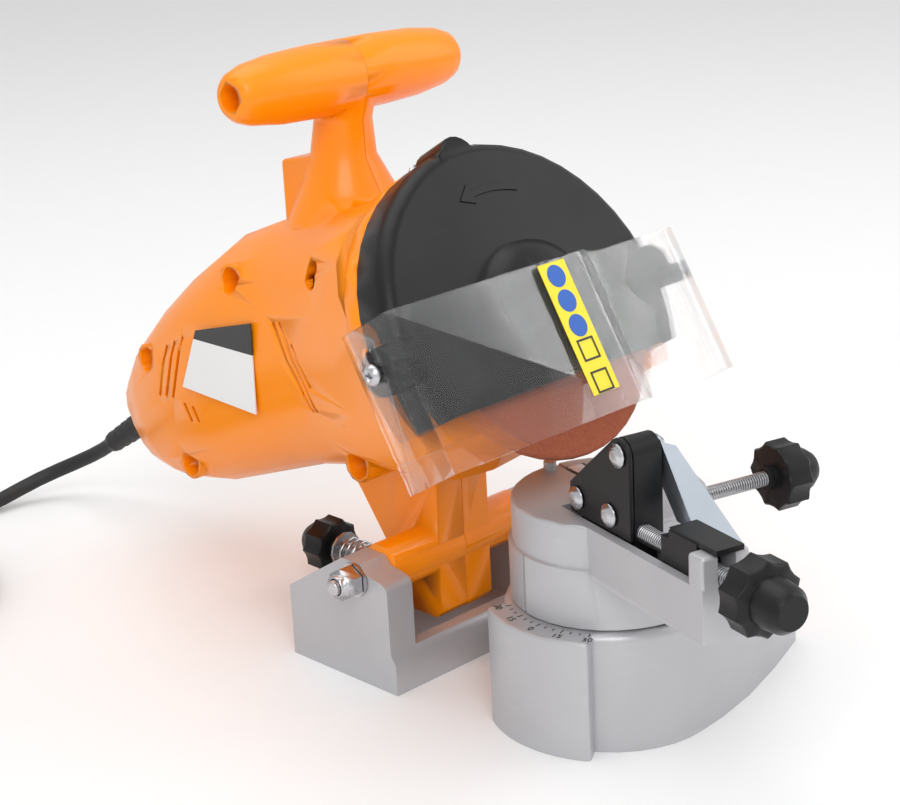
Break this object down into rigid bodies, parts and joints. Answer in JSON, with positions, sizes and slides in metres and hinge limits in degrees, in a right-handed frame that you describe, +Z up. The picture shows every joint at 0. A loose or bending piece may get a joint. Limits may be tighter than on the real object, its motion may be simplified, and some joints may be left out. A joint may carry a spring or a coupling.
{
  "type": "electric chainsaw sharpener",
  "caption": "Bench chain grinder: a tilting motor head with guarded wheel and clear visor over a swivelling chain vise with stop carriage, clamp knob and feed knob.",
  "frame": {"origin": "on the bench, under the vise's swivel axis, at the centre of the pedestal cover's underside", "axes": "+Z up, +X along the head's hinge to the machine's right, -Y towards the user"},
  "size_m": [0.2708, 0.4378, 0.2173],
  "materials": {
    "orange_plastic": "glossy moulded plastic",
    "grey_casting": "satin silver-grey paint on a casting",
    "black_plastic": "satin black",
    "black_rubber": "soft black sheath",
    "bright_steel": "bright machined steel",
    "zinc_plate": "bluish zinc plate",
    "copper_winding": "copper and carbon",
    "brown_abrasive": "bonded brown-red abrasive",
    "clear_plastic": "clear polished sheet",
    "yellow_sheet": "yellow film",
    "white_sheet": "white film"
  },
  "bodies": {
    "base": {"base_casting": "grey_casting", "pedestal_cover": "black_plastic", "hinge_bolt": "bright_steel", "hinge_nut": "bright_steel", "hinge_washer_left": "bright_steel", "hinge_washer_right": "bright_steel", "depth_spring": "bright_steel", "cord_lead": "black_rubber", "cord_coil": "black_rubber", "cord_tie": "black_plastic", "plug_body": "black_rubber", "plug_pins": "bright_steel"},
    "head": {"left_housing_shell": "orange_plastic", "right_housing_shell": "orange_plastic", "housing_screw_1": "bright_steel", "housing_screw_2": "bright_steel", "housing_screw_3": "bright_steel", "housing_screw_4": "bright_steel", "housing_screw_5": "bright_steel", "housing_screw_6": "bright_steel", "stator": "bright_steel", "front_bearing": "bright_steel", "rear_bearing": "bright_steel", "brush_yoke": "copper_winding", "wheel_guard": "black_plastic", "guard_screw_1": "bright_steel", "guard_screw_2": "bright_steel", "left_visor_screw": "bright_steel", "right_visor_screw": "bright_steel", "rating_plate": "white_sheet", "switch_body": "black_plastic", "cord_boot": "black_rubber"},
    "rotor": {"armature": "copper_winding", "cooling_fan": "black_plastic", "inner_flange": "bright_steel", "grinding_wheel": "brown_abrasive", "outer_flange": "bright_steel", "arbor_nut": "bright_steel"},
    "visor": {"visor_screen": "clear_plastic", "visor_strip": "yellow_sheet"},
    "rocker": {"switch_rocker": "black_plastic"},
    "depth_seat": {"depth_washer": "bright_steel"},
    "depth_stop": {"depth_screw": "bright_steel", "depth_knob": "black_plastic"},
    "vise": {"vise_casting": "grey_casting", "swivel_bolt": "bright_steel", "screw_bracket": "black_plastic"},
    "carriage": {"carriage_block": "black_plastic", "carriage_cheek": "black_plastic", "cheek_screw_1": "bright_steel", "cheek_screw_2": "bright_steel", "cheek_screw_3": "bright_steel", "lever_pin": "bright_steel"},
    "lever": {"stop_lever": "zinc_plate"},
    "feed": {"feed_screw": "bright_steel", "feed_knob": "black_plastic"},
    "jaw": {"clamp_jaw": "bright_steel"},
    "clamp": {"clamp_screw": "bright_steel", "clamp_knob": "black_plastic"}
  },
  "joints": [
    {"name": "head_tilt", "type": "hinge", "parent": "base", "child": "head", "pos_m": [0, 0.078, 0.0395], "axis": [1, 0, 0], "range_deg": [0, 7]},
    {"name": "wheel_spin", "type": "hinge", "parent": "head", "child": "rotor", "pos_m": [0, 0.0337, 0.1314], "axis": [0, -0.8607, 0.509], "continuous": true},
    {"name": "visor_slide", "type": "slide", "parent": "head", "child": "visor", "axis": [0, 0.509, 0.8607], "range_m": [-0.006, 0]},
    {"name": "rocker_tilt", "type": "hinge", "parent": "head", "child": "rocker", "pos_m": [0, 0.142, 0.16], "axis": [1, 0, 0], "range_deg": [-7, 0]},
    {"name": "depth_advance", "type": "slide", "parent": "base", "child": "depth_seat", "axis": [0, 1, 0], "range_m": [0, 0.004]},
    {"name": "depth_turn", "type": "hinge", "parent": "depth_seat", "child": "depth_stop", "pos_m": [0, 0.14, 0.02], "axis": [0, 1, 0], "range_deg": [-1, 1441]},
    {"name": "vise_swivel", "type": "hinge", "parent": "base", "child": "vise", "pos_m": [0, 0, 0.0418], "axis": [0, 0, 1], "range_deg": [-15, 45]},
    {"name": "carriage_slide", "type": "slide", "parent": "vise", "child": "carriage", "axis": [-0.2588, -0.9659, 0], "range_m": [-0.0025, 0.014]},
    {"name": "feed_turn", "type": "hinge", "parent": "vise", "child": "feed", "pos_m": [-0.03846, -0.08753, 0.0796], "axis": [-0.2588, -0.9659, 0], "range_deg": [-5041, 901]},
    {"name": "lever_flip", "type": "hinge", "parent": "carriage", "child": "lever", "pos_m": [-0.01563, -0.0336, 0.105], "axis": [0.9659, -0.2588, 0], "range_deg": [-70, 0]},
    {"name": "jaw_slide", "type": "slide", "parent": "vise", "child": "jaw", "axis": [-0.9659, 0.2588, 0], "range_m": [0, 0.001]},
    {"name": "clamp_turn", "type": "hinge", "parent": "jaw", "child": "clamp", "pos_m": [0.05956, -0.02114, 0.0692], "axis": [-0.9659, 0.2588, 0], "range_deg": [-1, 451]}
  ],
  "couplings": [
    {"joint": "depth_turn", "follows": "depth_advance", "rad_per_m": 6283.2},
    {"joint": "feed_turn", "follows": "carriage_slide", "rad_per_m": -6283.2},
    {"joint": "clamp_turn", "follows": "jaw_slide", "rad_per_m": 7854}
  ]
}
